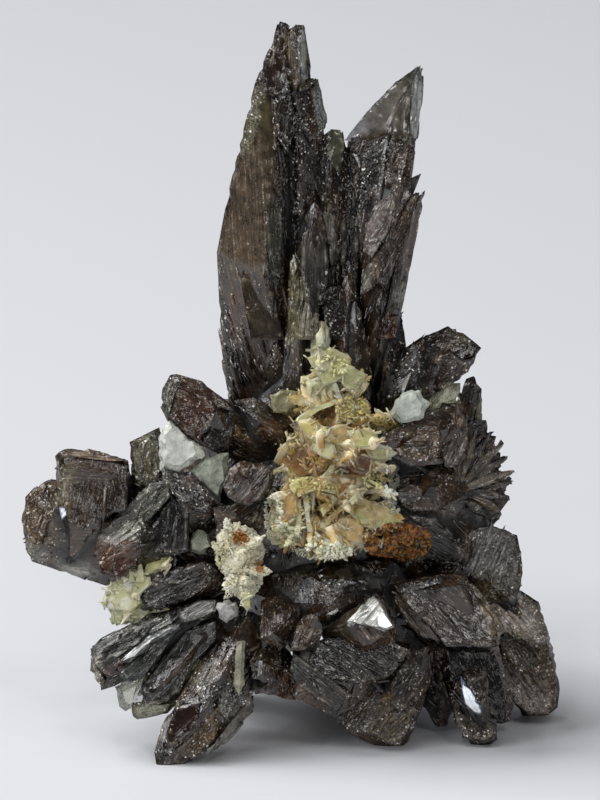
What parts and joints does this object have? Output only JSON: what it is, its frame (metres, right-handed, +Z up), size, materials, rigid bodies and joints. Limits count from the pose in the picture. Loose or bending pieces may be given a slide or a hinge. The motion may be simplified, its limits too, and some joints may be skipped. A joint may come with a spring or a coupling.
{
  "type": "axinite specimen",
  "caption": "Natural axinite specimen: sharp wedge-shaped brown crystals intergrown in one cluster, with sprays of pale quartz in its hollows, standing on its own crystal feet",
  "frame": {"origin": "the centre of the bounding box, on the plane that the crystal feet stand on", "axes": "+Z up, along the tall blades; -Y towards the viewer of the quartz sprays; +X to that viewer's right"},
  "size_m": [0.0538, 0.0372, 0.0712],
  "materials": {
    "axinite": "glassy clove-brown crystal faces, striated and granular, with grey, olive and red-brown patches and thin pale edges",
    "quartz": "cream and pale yellow quartz needles, glassy and part clear, with honey iron stain at their roots",
    "pale_quartz": "greenish-white to clear quartz, smooth and glassy with cloudy patches"
  },
  "bodies": {
    "root": {"axinite_cluster": "axinite", "quartz_spray_main": "quartz", "quartz_spray_small": "quartz", "quartz_spray_left": "quartz", "quartz_prism_low": "quartz", "quartz_bit_low": "pale_quartz", "quartz_bit_left": "pale_quartz", "pale_block_left": "pale_quartz", "pale_block_left_low": "pale_quartz", "pale_block_right": "pale_quartz", "pale_block_centre": "pale_quartz", "clear_block_right": "pale_quartz", "pale_crystal_left": "pale_quartz"}
  },
  "joints": []
}
